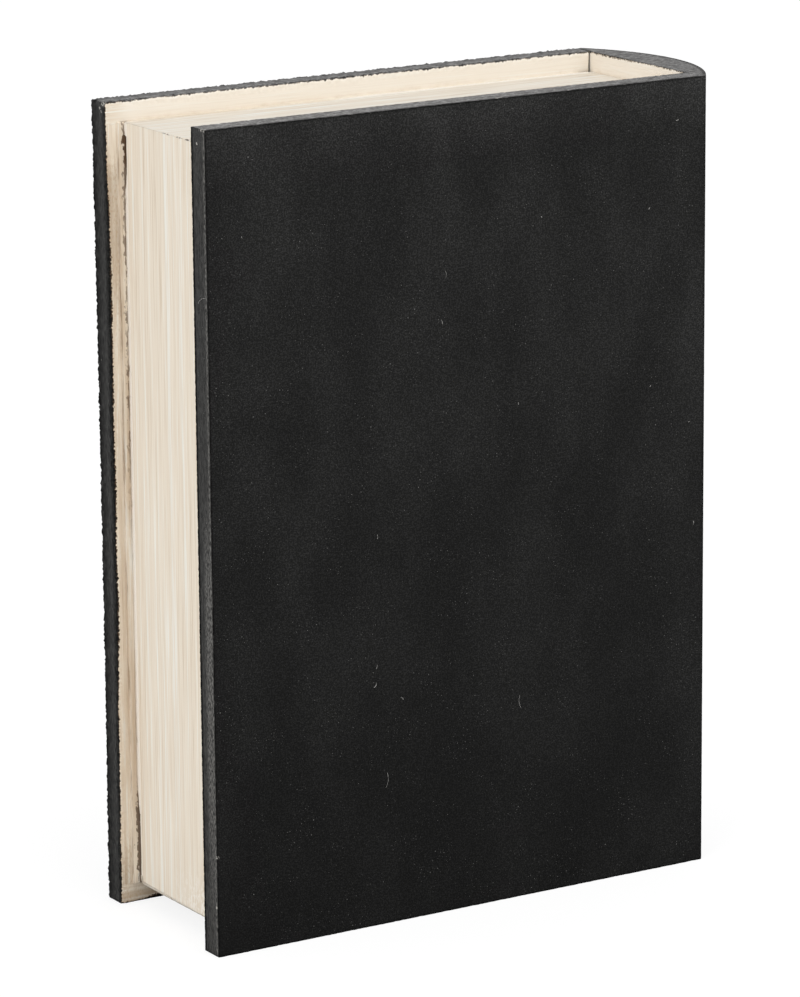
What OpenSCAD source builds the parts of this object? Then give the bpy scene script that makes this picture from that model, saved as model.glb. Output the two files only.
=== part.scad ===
// Storage box made like a large hardback book, standing on its tail edge.
// The near cover, the rounded spine and a tray of painted walls are glued up as one box.
// The far cover is the lid. It turns about an upright line where it meets the spine,
// and the only hinge is the covering cloth.
// X runs from the fore edge to the spine, Y from the near cover to the lid, Z up.

/* [Covers] */
// Width of a cover, from its fore edge to the flat back of the spine
cover_w = 209; // [150:1:260]
// Height of the covers and of the spine, cloth included
cover_h = 300; // [200:1:400]
// Thickness of the two cover boards
board_t = 9; // [4:0.5:15]
// Thickness of the black covering cloth
cloth_t = 0.5; // [0.3:0.1:1]

/* [Tray] */
// Height of the tray walls above the near cover's board
tray_depth = 61; // [30:1:120]
// Thickness of the tray walls
wall_t = 6; // [3:0.5:12]
// How far the covers stand out past the tray at head, tail and fore edge
square_w = 7.5; // [3:0.5:15]

/* [Spine] */
// Thickness of the spine at its middle, cloth included
spine_t = 16; // [8:0.5:30]
// Thickness of the spine along its two long edges
spine_edge_t = 2; // [1:0.5:5]
// How far the spine's rear edge lies below the lid's outer face
spine_step = 1.5; // [1:0.1:3]

/* [Lid] */
// Open seam between the tray's rim and the lid's panel
seam_gap = 1; // [0.5:0.1:3]
// Thickness of the panel glued inside the lid
panel_t = 1.5; // [1:0.1:4]
// Distance from the lid's fore edge to its panel, and from the panel to the hinge
panel_inset = 5; // [2:0.5:12]
// Open joint between the lid's board and the spine
hinge_gap = 0.5; // [0.4:0.1:2]

/* [Linings] */
// Thickness of the felt on the tray's floor
felt_t = 1; // [0.5:0.1:3]
// Thickness of the paper on the inside of the walls
paper_t = 0.4; // [0.3:0.1:1]
// Distance that the paper stops short of the tray's rim
paper_setback = 2; // [0:0.5:10]

/* [Hidden] */
$fn = 128;

// Overrun of a cut past the face that it opens
cut = 1;

// Stack of the pieces from the near cover's face to the lid's face
floor_y = cloth_t + board_t;
rim_y = floor_y + tray_depth;
panel_y = rim_y + seam_gap;
lid_y = panel_y + panel_t;
total_d = lid_y + board_t + cloth_t;

// Spine profile: an arc over a flat back, with two narrow long edges
spine_d = total_d - spine_step;
arc_rise = spine_t - spine_edge_t;
arc_r = (pow(spine_d / 2, 2) + pow(arc_rise, 2)) / (2 * arc_rise);
total_w = cover_w + spine_t;

// Boards inside the cloth
inner_h = cover_h - 2 * cloth_t;
lid_end = cover_w - hinge_gap;

// Outline of the tray across the covers
tray_x = [square_w, cover_w];
tray_z = [square_w, cover_h - square_w];
room_x = [tray_x[0] + wall_t, tray_x[1] - wall_t];
room_z = [tray_z[0] + wall_t, tray_z[1] - wall_t];

cloth_black = [0.14, 0.14, 0.14];
board_brown = [0.62, 0.48, 0.33];
page_cream = [0.91, 0.87, 0.80];
felt_grey = [0.30, 0.29, 0.28];
paper_cream = [0.86, 0.81, 0.71];

// The origin is under the middle of the box, on the surface that it stands on
module placed() {
    translate([-total_w / 2, -total_d / 2, 0])
        children();
}

// A box between two opposite corners
module block(low, high) {
    translate(low)
        cube(high - low);
}

// An outline in X and Z, run along Y from the floor of the tray to its rim
module wall(outline) {
    placed()
        translate([0, rim_y, 0])
        rotate([90, 0, 0])
        linear_extrude(height = tray_depth)
        polygon(outline);
}

// Outline of the spine seen from above, drawn in by a margin all round its arc side
module spine_profile(inset, back) {
    intersection() {
        translate([total_w - arc_r, spine_d / 2])
            circle(r = arc_r - inset);
        translate([back, inset])
            square([spine_t + cover_w - back, spine_d - 2 * inset]);
    }
}

// Cloth over a cover: its outer face, three edges and a strip turned in on the inside.
// It is drawn with the outer face at Y 0 and open towards the spine.
module cover_skin(width, window) {
    difference() {
        block([0, 0, 0], [width, board_t + 2 * cloth_t, cover_h]);
        block([cloth_t, cloth_t, cloth_t], [width + cut, cloth_t + board_t, cloth_t + inner_h]);
        block([window, cloth_t, square_w],
              [width + cut, board_t + 2 * cloth_t + cut, cover_h - square_w]);
    }
}

module base_board() {
    color(board_brown)
        placed()
        block([cloth_t, cloth_t, cloth_t], [cover_w, floor_y, cloth_t + inner_h]);
}

module base_cloth() {
    color(cloth_black)
        placed()
        cover_skin(cover_w, square_w);
}

module spine_block() {
    color(board_brown)
        placed()
        translate([0, 0, cloth_t])
        linear_extrude(height = inner_h)
        spine_profile(cloth_t, cover_w);
}

module spine_cloth() {
    color(cloth_black)
        placed()
        difference() {
            linear_extrude(height = cover_h)
                spine_profile(0, cover_w);
            translate([0, 0, cloth_t])
                linear_extrude(height = inner_h)
                spine_profile(cloth_t, cover_w - cut);
        }
}

// The four walls meet in mitres at the corners of the tray
module head_wall() {
    color(page_cream)
        wall([[tray_x[0], tray_z[1]], [tray_x[1], tray_z[1]],
              [room_x[1], room_z[1]], [room_x[0], room_z[1]]]);
}

module tail_wall() {
    color(page_cream)
        wall([[tray_x[0], tray_z[0]], [tray_x[1], tray_z[0]],
              [room_x[1], room_z[0]], [room_x[0], room_z[0]]]);
}

module fore_edge_wall() {
    color(page_cream)
        wall([[tray_x[0], tray_z[0]], [tray_x[0], tray_z[1]],
              [room_x[0], room_z[1]], [room_x[0], room_z[0]]]);
}

module spine_wall() {
    color(page_cream)
        wall([[tray_x[1], tray_z[0]], [tray_x[1], tray_z[1]],
              [room_x[1], room_z[1]], [room_x[1], room_z[0]]]);
}

module floor_felt() {
    color(felt_grey)
        placed()
        block([room_x[0], floor_y, room_z[0]], [room_x[1], floor_y + felt_t, room_z[1]]);
}

// One strip of paper round the inside of the walls, standing on the felt
module wall_paper() {
    color(paper_cream)
        placed()
        difference() {
            block([room_x[0], floor_y + felt_t, room_z[0]],
                  [room_x[1], rim_y - paper_setback, room_z[1]]);
            block([room_x[0] + paper_t, floor_y, room_z[0] + paper_t],
                  [room_x[1] - paper_t, rim_y + cut, room_z[1] - paper_t]);
        }
}

module lid_board() {
    color(board_brown)
        placed()
        block([cloth_t, lid_y, cloth_t], [lid_end, lid_y + board_t, cloth_t + inner_h]);
}

module lid_cloth() {
    color(cloth_black)
        placed()
        translate([0, total_d, 0])
        mirror([0, 1, 0])
        cover_skin(lid_end, panel_inset);
}

module lid_panel() {
    color(page_cream)
        placed()
        block([panel_inset, panel_y, square_w], [lid_end - panel_inset, lid_y, cover_h - square_w]);
}

base_board();
base_cloth();
spine_block();
spine_cloth();
head_wall();
tail_wall();
fore_edge_wall();
spine_wall();
floor_felt();
wall_paper();
lid_board();
lid_cloth();
lid_panel();
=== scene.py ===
# %% [markdown]
# # A storage box made like a large book
# The box stands on its tail edge. The near cover and the rounded spine are glued up with a tray of
# painted walls, and the far cover is the lid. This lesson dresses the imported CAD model: black bookcloth
# with worn edges, a page block painted cream with brushed page lines, and the linings inside. The packed
# model comes first, because every place below is worked out from it.

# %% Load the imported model
import math

import bmesh
import bpy
from mathutils import Matrix, Vector, noise


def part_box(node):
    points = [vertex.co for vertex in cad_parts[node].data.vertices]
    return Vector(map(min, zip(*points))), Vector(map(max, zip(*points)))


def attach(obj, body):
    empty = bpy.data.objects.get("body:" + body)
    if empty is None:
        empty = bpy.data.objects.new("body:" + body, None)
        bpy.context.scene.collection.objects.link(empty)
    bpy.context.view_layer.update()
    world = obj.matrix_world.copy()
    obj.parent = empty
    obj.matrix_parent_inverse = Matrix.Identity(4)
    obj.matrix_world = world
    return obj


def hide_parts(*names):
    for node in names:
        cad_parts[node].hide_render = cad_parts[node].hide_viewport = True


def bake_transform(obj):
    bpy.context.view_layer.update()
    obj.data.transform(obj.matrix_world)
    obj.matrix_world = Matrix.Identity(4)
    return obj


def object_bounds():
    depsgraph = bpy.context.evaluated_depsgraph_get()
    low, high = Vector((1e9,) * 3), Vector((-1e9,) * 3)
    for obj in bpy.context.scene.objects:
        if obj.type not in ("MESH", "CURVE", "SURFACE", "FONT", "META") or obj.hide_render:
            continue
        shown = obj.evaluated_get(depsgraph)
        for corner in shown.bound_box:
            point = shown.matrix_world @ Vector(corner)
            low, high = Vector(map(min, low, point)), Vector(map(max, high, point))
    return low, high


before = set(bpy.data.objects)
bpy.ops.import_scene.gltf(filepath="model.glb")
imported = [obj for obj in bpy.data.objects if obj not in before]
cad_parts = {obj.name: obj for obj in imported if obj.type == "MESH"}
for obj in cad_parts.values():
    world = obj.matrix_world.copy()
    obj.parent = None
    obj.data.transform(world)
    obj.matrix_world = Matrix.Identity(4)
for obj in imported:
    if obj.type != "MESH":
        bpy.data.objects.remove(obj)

CAD_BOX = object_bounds()
MM = 0.001
print("CAD box in mm:", [[round(value / MM, 1) for value in corner] for corner in CAD_BOX])

# %% [markdown]
# ## Camera
# The photograph was taken from far away with a long lens, from the fore-edge side and a little above. A
# long lens keeps the upright edges almost parallel. The camera is given a place, a heading, a downward
# tilt and a slight roll, which were solved from the corners of the two covers. No lens shift is used, so
# the other views stay centred.

# %% Set up the camera
HEADING = math.radians(31.826)
LOOK_DOWN = math.radians(13.717)
ROLL = math.radians(-0.469)
CAMERA_PLACE = Vector((-0.98012, -1.56474, 0.59657))
FOCAL_LENGTH = 185.74

lens = bpy.data.cameras.new("camera")
lens.lens = FOCAL_LENGTH
lens.sensor_width = 36.0
lens.clip_start = 0.05
lens.clip_end = 60.0
camera = bpy.data.objects.new("camera", lens)
bpy.context.collection.objects.link(camera)
tilt = Matrix.Rotation(math.pi / 2 - LOOK_DOWN, 4, "X") @ Matrix.Rotation(ROLL, 4, "Z")
camera.matrix_world = Matrix.Translation(CAMERA_PLACE) @ Matrix.Rotation(-HEADING, 4, "Z") @ tilt
bpy.context.scene.camera = camera
print("camera distance in m:", round(CAMERA_PLACE.length, 3))

# %% [markdown]
# ## Helpers for shader nodes
# Every finish here is a small tree of nodes. Helpers keep the trees short: one adds a node and fills its
# inputs, five do arithmetic, one makes a grain of a given size, and one turns a range of values smoothly
# into another. Sizes are in mm on Object coordinates, so a pattern keeps its scale on every piece, and a
# grain that is stretched along one axis turns from specks into brush strokes. Noise lies mostly between
# 0.3 and 0.7, so the windows on it start and stop there. Each grain has a shift of its own, so that no
# two patterns fall together.

# %% Node helpers
def add(tree, kind, inputs=None, **settings):
    """Adds a shader node, sets its options, and fills its inputs or joins them to other nodes."""
    made = tree.nodes.new("ShaderNode" + kind)
    for name, value in settings.items():
        setattr(made, name, value)
    for key, value in (inputs or {}).items():
        if isinstance(value, bpy.types.NodeSocket):
            tree.links.new(value, made.inputs[key])
        else:
            made.inputs[key].default_value = value
    return made


def joiner(operation):
    """Makes a helper that joins two or more values by one kind of arithmetic."""
    def join(tree, value, *others):
        for other in others:
            value = add(tree, "Math", {0: value, 1: other}, operation=operation).outputs[0]
        return value
    return join


plus = joiner("ADD")
minus = joiner("SUBTRACT")
times = joiner("MULTIPLY")
least = joiner("MINIMUM")
most = joiner("MAXIMUM")


def grain(tree, place, size, detail=2.0, shift=0.0):
    """Noise from 0 to 1 whose features have a size in mm: one number, or three along X, Y and Z."""
    sizes = size if isinstance(size, tuple) else (size,) * 3
    scale = Vector([1 / (length * MM) for length in sizes])
    stretched = add(tree, "Mapping", {"Vector": place, "Location": (shift,) * 3, "Scale": scale})
    inputs = {"Vector": stretched.outputs[0], "Scale": 1.0, "Detail": detail}
    return add(tree, "TexNoise", inputs).outputs[0]


def swing(tree, place, size, span, detail=3.0, shift=0.0):
    """Noise that swings to both sides of 0 within a span."""
    return times(tree, minus(tree, grain(tree, place, size, detail, shift), 0.5), span)


def window(tree, value, start, stop, low=0.0, high=1.0):
    """Turns a value smoothly from low to high while it runs from start to stop."""
    inputs = {"Value": value, "From Min": start, "From Max": stop, "To Min": low, "To Max": high}
    return add(tree, "MapRange", inputs, interpolation_type="SMOOTHSTEP").outputs[0]


def tint(tree, factor, first, second):
    """Mixes two colours."""
    made = tree.nodes.new("ShaderNodeMix")
    made.data_type = "RGBA"
    for slot, value in ((0, factor), (6, first), (7, second)):
        if isinstance(value, bpy.types.NodeSocket):
            tree.links.new(value, made.inputs[slot])
        else:
            made.inputs[slot].default_value = value if slot == 0 else (*value, 1.0)
    return made.outputs[2]


def shade(tree, colour, factor):
    """Darkens or lightens a colour by a factor."""
    return add(tree, "VectorMath", {0: colour, "Scale": factor}, operation="SCALE").outputs[0]


def new_material(name):
    """An empty material with the object's own coordinates: returns the tree and the coordinates."""
    material = bpy.data.materials.new(name)
    material.use_nodes = True
    material.node_tree.nodes.clear()
    tree = material.node_tree
    return material, tree, add(tree, "TexCoord").outputs["Object"]


def surface(tree, colour, roughness, height, depth, **constants):
    """Joins colour, roughness and relief to one Principled shader. Constants go on its own sockets."""
    relief = add(tree, "Bump", {"Height": height, "Strength": 1.0, "Distance": depth})
    inputs = {"Base Color": colour, "Roughness": roughness, "Normal": relief.outputs[0]}
    inputs.update({name.replace("_", " "): value for name, value in constants.items()})
    shader = add(tree, "BsdfPrincipled", inputs)
    add(tree, "OutputMaterial", {"Surface": shader.outputs[0]})

# %% [markdown]
# ## Floor and light
# A product photograph on white has light from all round. Here the world gives most of it, and three large
# soft lamps add a little more from the fore-edge side, from above and from the front. The floor and the
# world look white to the camera, while the floor still takes a soft shadow from the box.

# %% Floor and lamps
WORLD_LIGHT = 0.72
FLOOR_HALF = 9.0
FLOOR_MOTTLE = 400
FLOOR_VEIL = (0.20, 0.20, 0.20, 1.0)
FLOOR_GLOW = 0.85
WHITE = (1.0, 1.0, 1.0, 1.0)


def white_world():
    """Even soft light for the object, and plain white for the camera and for gloss."""
    world = bpy.data.worlds.new("studio")
    bpy.context.scene.world = world
    world.use_nodes = True
    tree = world.node_tree
    tree.nodes.clear()
    path = add(tree, "LightPath").outputs
    shown = most(tree, path["Is Camera Ray"], path["Is Glossy Ray"], path["Is Transmission Ray"])
    strength = add(tree, "MapRange", {"Value": shown, "To Min": WORLD_LIGHT, "To Max": 1.0}).outputs[0]
    light = add(tree, "Background", {"Color": WHITE, "Strength": strength})
    add(tree, "OutputWorld", {"Surface": light.outputs[0]})


def white_floor(height):
    """A pale floor that the camera sees as white with a soft shadow on it."""
    material, tree, place = new_material("floor_white")
    path = add(tree, "LightPath").outputs
    mottle = window(tree, grain(tree, place, FLOOR_MOTTLE), 0.3, 0.7, 0.80, 0.82)
    paint = add(tree, "BsdfDiffuse", {"Color": mottle})
    veil = add(tree, "BsdfDiffuse", {"Color": FLOOR_VEIL})
    glow = add(tree, "Emission", {"Color": WHITE, "Strength": FLOOR_GLOW})
    seen = add(tree, "AddShader", {0: veil.outputs[0], 1: glow.outputs[0]})
    mixed = add(tree, "MixShader", {0: path["Is Camera Ray"], 1: paint.outputs[0], 2: seen.outputs[0]})
    add(tree, "OutputMaterial", {"Surface": mixed.outputs[0]})
    bm = bmesh.new()
    bmesh.ops.create_grid(bm, x_segments=2, y_segments=2, size=FLOOR_HALF)
    bmesh.ops.translate(bm, verts=bm.verts, vec=(0.0, 0.0, height))
    mesh = bpy.data.meshes.new("floor")
    bm.to_mesh(mesh)
    bm.free()
    mesh.materials.append(material)
    floor = bpy.data.objects.new("floor", mesh)
    bpy.context.collection.objects.link(floor)


def soft_lamp(name, place, target, size, power):
    """A large square lamp that faces a target."""
    data = bpy.data.lights.new(name, "AREA")
    data.size = size
    data.energy = power
    lamp = bpy.data.objects.new(name, data)
    lamp.location = place
    lamp.rotation_euler = (Vector(target) - Vector(place)).to_track_quat("-Z", "Y").to_euler()
    bpy.context.collection.objects.link(lamp)


white_world()
white_floor(CAD_BOX[0].z)
MIDDLE = (CAD_BOX[0] + CAD_BOX[1]) / 2
soft_lamp("fore_edge_lamp", (-2.2, -1.0, 1.2), MIDDLE, 1.6, 16.0)
soft_lamp("top_lamp", (0.2, -0.8, 2.6), MIDDLE, 1.6, 14.0)
soft_lamp("front_lamp", (0.9, -2.8, 0.9), MIDDLE, 1.8, 15.0)
print("floor at z", round(CAD_BOX[0].z / MM, 2), "mm")

# %% [markdown]
# ## Places and thicknesses from the frame
# The corners of the CAD nodes give every plane that the looks need. The turned-in cloth ends on the inner
# face of each cover, and that is also where the cream paint starts.

# %% Read the frame
COVER_LOW, COVER_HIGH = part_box("base_cloth")
SPINE_LOW, SPINE_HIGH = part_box("spine_cloth")
LID_LOW, LID_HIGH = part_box("lid_cloth")
PANEL_LOW, PANEL_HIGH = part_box("lid_panel")
FORE_LOW, FORE_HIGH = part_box("fore_edge_wall")
HEAD_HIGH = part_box("head_wall")[1]
TAIL_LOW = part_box("tail_wall")[0]
print("cover thickness in mm:", round((COVER_HIGH.y - COVER_LOW.y) / MM, 2))

# %% [markdown]
# ## Black bookcloth
# Bookcloth is a fine weave that is dyed through and filled with size, so it is nearly black and quite
# matte. The base colour is kept very dark and the gloss low, because gloss would turn every arris grey in
# a white studio. Fine threads run both ways, and lint sits on them as pale specks. The faces that look
# upwards are grey in streaks, partly dust and partly a painted sheen of grazing light, and the fore-edge
# sides are greyed partly by hands and partly as a painted sheen. The cloth is also painted darker towards
# the tail and lighter at the head, as painted light. Strips beside the outer faces were pressed while damp
# and stay black, and the corners are scuffed down to the pale ground. Each piece stores where it is
# pressed or rubbed in attributes, which the material reads.

# %% Cloth recipe
CLOTH_DEEP = (0.0064, 0.0064, 0.0062)
CLOTH_PALE = (0.0196, 0.0195, 0.0191)
CLOTH_LINT = (0.190, 0.187, 0.180)
# Grey for the faces that look upwards: dust and painted sheen.
CLOTH_TOP_DARK = (0.062, 0.059, 0.057)
CLOTH_TOP_PALE = (0.262, 0.257, 0.252)
# Grey for the fore-edge sides: wear and painted sheen.
CLOTH_SIDE = (0.052, 0.051, 0.049)
CLOTH_RUBBED = (0.260, 0.252, 0.238)
CLOTH_INKY = (0.0012, 0.0012, 0.0012)
CLOTH_SCUFFED = (0.52, 0.50, 0.46)
CLOTH_GLOSS = {"Specular_IOR_Level": 0.06, "Sheen_Weight": 0.04, "Sheen_Roughness": 0.35}
CLOTH_RELIEF = 0.10 * MM


def weave(tree, place):
    """Height of threads that run both ways, with nubs."""
    warp = grain(tree, place, (0.42, 0.42, 2.2), 1.0)
    weft = grain(tree, place, (2.2, 2.2, 0.42), 1.0, shift=3.0)
    nubs = grain(tree, place, 0.58, 1.0, shift=7.0)
    return plus(tree, most(tree, warp, weft), times(tree, nubs, 2.0))


def cloth_field(tree, place, threads):
    """The dark ground of the cloth: mottled threads, blotches, painted light that darkens it towards the tail
    and lightens it at the head, and lint.
    """
    colour = tint(tree, window(tree, threads, 1.34, 2.00), CLOTH_DEEP, CLOTH_PALE)
    blotch = grain(tree, place, (24, 24, 44), 4.0, shift=11.0)
    axes = add(tree, "SeparateXYZ", {0: place}).outputs
    # Painted light: darker towards the tail and lighter at the head, as the light falls from above.
    rise = window(tree, axes["Z"], COVER_LOW.z - 0.06, COVER_HIGH.z + 0.02, 0.62, 1.36)
    at_head = window(tree, axes["Z"], COVER_HIGH.z - 0.022, COVER_HIGH.z, 1.0, 1.45)
    at_spine = window(tree, axes["X"], SPINE_LOW.x - 0.045, SPINE_LOW.x - 0.005, 1.0, 1.18)
    blotches = window(tree, blotch, 0.34, 0.70, 0.82, 1.24)
    colour = shade(tree, colour, times(tree, blotches, rise, at_head, at_spine))
    lint = window(tree, grain(tree, place, 0.55, 1.0, shift=17.0), 0.680, 0.765)
    field = window(tree, grain(tree, place, 14, 2.0, shift=19.0), 0.38, 0.66, 0.05, 1.0)
    return tint(tree, times(tree, lint, field), colour, CLOTH_LINT)


def cloth_parts(tree, place, inky=None, scuffs=(), dust_sheen=0.75):
    """Colour, roughness and height of the cloth. Inky says where the arrises are pressed black."""
    threads = weave(tree, place)
    colour = cloth_field(tree, place, threads)
    facing = add(tree, "SeparateXYZ", {0: add(tree, "TexCoord").outputs["Normal"]}).outputs
    # The fore-edge sides are greyed, partly by hands and partly as a painted sheen of the light from that
    # side.
    upright = grain(tree, place, (0.6, 0.6, 2.4), 4.0, shift=21.0)
    upright = window(tree, upright, 0.34, 0.68, 0.15, 1.0)
    side_wear_sheen = times(tree, window(tree, facing["X"], -0.6, -0.95), upright)
    colour = tint(tree, side_wear_sheen, colour, CLOTH_SIDE)
    # Faces that look upwards turn grey in streaks: partly dust, partly a painted sheen of grazing light.
    streaks = grain(tree, place, (2.8, 0.9, 0.9), 4.0, shift=25.0)
    dusty_sheen = shade(tree, tint(tree, window(tree, streaks, 0.33, 0.65), CLOTH_TOP_DARK, CLOTH_TOP_PALE), dust_sheen)
    specks = window(tree, grain(tree, place, 0.9, 3.0, shift=33.0), 0.36, 0.64, 0.68, 1.28)
    dusty_sheen = shade(tree, dusty_sheen, specks)
    uneven = window(tree, grain(tree, place, 0.6, 2.0, shift=27.0), 0.35, 0.65, -0.12, 0.08)
    colour = tint(tree, window(tree, plus(tree, facing["Z"], uneven), 0.66, 0.95), colour, dusty_sheen)
    rubbed = add(tree, "Attribute", attribute_name="rubbed").outputs["Fac"]
    rub = window(tree, grain(tree, place, (0.5, 0.5, 1.6), 3.0, shift=23.0), 0.42, 0.60)
    colour = tint(tree, times(tree, rubbed, rub), colour, CLOTH_RUBBED)
    if inky:
        arris = add(tree, "Attribute", attribute_name="arris").outputs["Fac"]
        pressed = times(tree, arris, inky)
        colour = tint(tree, pressed, colour, CLOTH_INKY)
    for spot, size in scuffs:
        away = add(tree, "VectorMath", {0: place, 1: spot}, operation="DISTANCE").outputs["Value"]
        torn = window(tree, grain(tree, place, 0.45, 2.0, shift=29.0), 0.42, 0.53)
        bare = times(tree, window(tree, away, size, 0.3 * size), torn)
        colour = tint(tree, bare, colour, CLOTH_SCUFFED)
    roughness = window(tree, threads, 1.2, 2.1, 0.46, 0.64)
    if inky:
        roughness = add(tree, "Mix", {0: pressed, 2: roughness, 3: 0.9}).outputs[0]
    return colour, roughness, times(tree, threads, 0.4)

# %% [markdown]
# ## Cream paint brushed like page edges
# The walls and the insides of the covers are painted a warm white, and a stiff brush was dragged along
# them so that the marks look like page edges. The marks are noise on coordinates that are squeezed along
# the stroke, which draws specks out into lines. Warm tan shows in the hollows, and nearly white paint
# stands on the ridges.

# %% Paint recipe
PAINT_HOLLOW = (0.640, 0.520, 0.390)
PAINT_BODY = (0.855, 0.768, 0.643)
PAINT_RIDGE = (0.890, 0.865, 0.790)
# Tan for stains, and for painted shade beside the page block.
PAINT_STAIN_AND_SHADE = (0.520, 0.375, 0.240)
# Paler paint for the margin above the page block: painted light.
PAINT_PALE_LIT = (0.920, 0.860, 0.770)
# Palest cream, for fresh paint and for painted highlights.
PAINT_FRESH_HIGHLIGHT = (0.950, 0.905, 0.835)
PAINT_RELIEF = 0.08 * MM
ALONG_Z = (1.0, 1.0, 1 / 70)
ALONG_Z_SHORT = (1.0, 1.0, 1 / 24)
ALONG_X = (1 / 40, 1.0, 1.0)
ALONG_Y = (1.0, 1 / 12, 1.0)


def strokes(tree, place, along):
    """Coordinates squeezed along the brush strokes."""
    return add(tree, "Mapping", {"Vector": place, "Scale": along}).outputs[0]


def paint_parts(tree, brushed, stain_and_shade=0.25):
    """Colour, roughness and height of the brushed cream paint, on squeezed coordinates."""
    fine = grain(tree, brushed, 0.60, 2.0, shift=31.0)
    broad = grain(tree, brushed, 2.4, 2.0, shift=37.0)
    colour = tint(tree, window(tree, fine, 0.31, 0.54), PAINT_HOLLOW, PAINT_BODY)
    colour = tint(tree, window(tree, broad, 0.25, 0.55, 0.05, 0.72), colour, PAINT_BODY)
    ridge = window(tree, plus(tree, fine, broad), 1.04, 1.26)
    colour = tint(tree, ridge, colour, PAINT_RIDGE)
    cloud = window(tree, grain(tree, brushed, 3.0, 3.0, shift=41.0), 0.34, 0.70)
    # Tan clouds: real stain, and on the lid and panel beside the page block also painted shade of that
    # recess.
    colour = tint(tree, times(tree, cloud, stain_and_shade), colour, PAINT_STAIN_AND_SHADE)
    roughness = window(tree, fine, 0.3, 0.7, 0.62, 0.50)
    return colour, roughness, plus(tree, fine, times(tree, broad, 0.5))

# %% [markdown]
# ## One finish for cloth and paint together
# On the real covers the paint stops raggedly at the inner arris, and a thin line follows its edge: dark
# as bare glue and painted shade at the arris, and pale above the page block, where the margin is painted
# lighter as painted light. One material does all of it: it reads how far a point lies past the paint's
# edge, roughens that distance with noise, and turns from cloth to that line to paint. The distance grows
# across the inner face, so the noise only shows at its rim. Beside the page block the lid's paint has been
# handled: it turns tan towards the head, with brown flecks and fine cracks, and the tan is partly painted
# shade of the recess beside the block. The paint stops short of the joint of lid and spine, so the crack
# there stays dark as painted shade.

# %% Cloth with a painted inside
# A thin line at the paint's edge: dark for bare glue and painted shade at the arris, pale where the margin is
# painted lighter.
GLUE_SHADE_LINE = (0.085, 0.055, 0.035)
GLUE_PALE_LIT = (0.360, 0.310, 0.250)
# Unpainted end of the lid at the hinge, kept dark as painted shade of the crack.
JOINT_SHADE_BARE = 0.25 * MM


def rejoined(tree, axes):
    """The three coordinates as one place again, for noise."""
    return add(tree, "CombineXYZ", {0: axes["X"], 1: axes["Y"], 2: axes["Z"]}).outputs[0]


def in_mm(tree, value, start, sign):
    """How far a coordinate lies past a start, in mm, in the direction of a sign."""
    return times(tree, minus(tree, value, start), sign / MM)


def inward(tree, axes, low, high, tail_bare=0.0, head_gain=0.0):
    """How far a point lies in from a cover's free edges, in mm, up to 3. The round arris doesn't count."""
    tail_end = in_mm(tree, axes["Z"], low.z, 1.0)
    unpainted = window(tree, axes["X"], low.x + 7 * MM, low.x + 16 * MM, 0.0, tail_bare)
    tail_end = minus(tree, tail_end, unpainted)
    head_end = plus(tree, in_mm(tree, axes["Z"], high.z, -1.0), head_gain)
    nearest_end = least(tree, tail_end, head_end)
    nearest_end = least(tree, nearest_end, in_mm(tree, axes["X"], low.x, 1.0))
    return least(tree, minus(tree, nearest_end, 0.9), 3.0)


def paint_reach(tree, face, step_in):
    """Adds the two distances. The one from the inner face counts double, so the paint ends at the arris."""
    return plus(tree, times(tree, face, 2.0), step_in)


def box_reach(tree, axes):
    """The near cover's inner face and the flat back of the spine, up to the joint with the lid."""
    inside = in_mm(tree, axes["Y"], COVER_HIGH.y - 0.30 * MM, 1.0)
    flat_back = in_mm(tree, axes["X"], SPINE_LOW.x + 0.18 * MM, -1.0)
    face = least(tree, inside, flat_back)
    reach = paint_reach(tree, face, inward(tree, axes, COVER_LOW, COVER_HIGH))
    # The paint stops short of the joint with the lid, so the crack there stays dark: painted shade.
    return least(tree, reach, in_mm(tree, axes["Y"], LID_LOW.y + 1.5 * MM, -1.0))


def lid_reach(tree, axes):
    """The lid's inner face, apart from its end at the hinge."""
    face = in_mm(tree, axes["Y"], LID_LOW.y + 0.38 * MM, -1.0)
    reach = paint_reach(tree, face, inward(tree, axes, LID_LOW, LID_HIGH, tail_bare=1.4, head_gain=0.35))
    handled_low = window(tree, axes["Z"], LID_LOW.z + 45 * MM, LID_LOW.z + 120 * MM, 0.0, 1.35)
    handled_high = window(tree, axes["Z"], LID_HIGH.z - 4 * MM, LID_HIGH.z - 55 * MM)
    beside = window(tree, axes["X"], LID_LOW.x + 5 * MM, LID_LOW.x + 3 * MM)
    rubbed_off = times(tree, beside, handled_low, handled_high)
    # The lid's end at the hinge keeps its black cloth, so the crack stays dark: painted shade.
    joint_shade = times(tree, in_mm(tree, axes["X"], LID_HIGH.x - JOINT_SHADE_BARE, -1.0), 4.0)
    return least(tree, minus(tree, reach, rubbed_off), joint_shade)


def margins(tree, place, axes):
    """How far past the page block a point lies at the head and at the tail, in mm, with a ragged start."""
    ragged = swing(tree, place, 2.5, 4.0, shift=59.0)
    past_head = plus(tree, in_mm(tree, axes["Z"], HEAD_HIGH.z - 0.5 * MM, 1.0), ragged)
    past_tail = plus(tree, in_mm(tree, axes["Z"], TAIL_LOW.z + 0.5 * MM, -1.0), ragged)
    return past_head, past_tail


def lid_strokes(tree, place, axes):
    """Upright strokes beside the page block, and level ones along the head and the tail."""
    past_head, past_tail = margins(tree, place, axes)
    made = tree.nodes.new("ShaderNodeMix")
    made.data_type = "VECTOR"
    tree.links.new(window(tree, most(tree, past_head, past_tail), -0.2, 0.2), made.inputs[0])
    tree.links.new(strokes(tree, place, ALONG_Z_SHORT), made.inputs[4])
    tree.links.new(strokes(tree, place, ALONG_X), made.inputs[5])
    return made.outputs[1]


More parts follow.
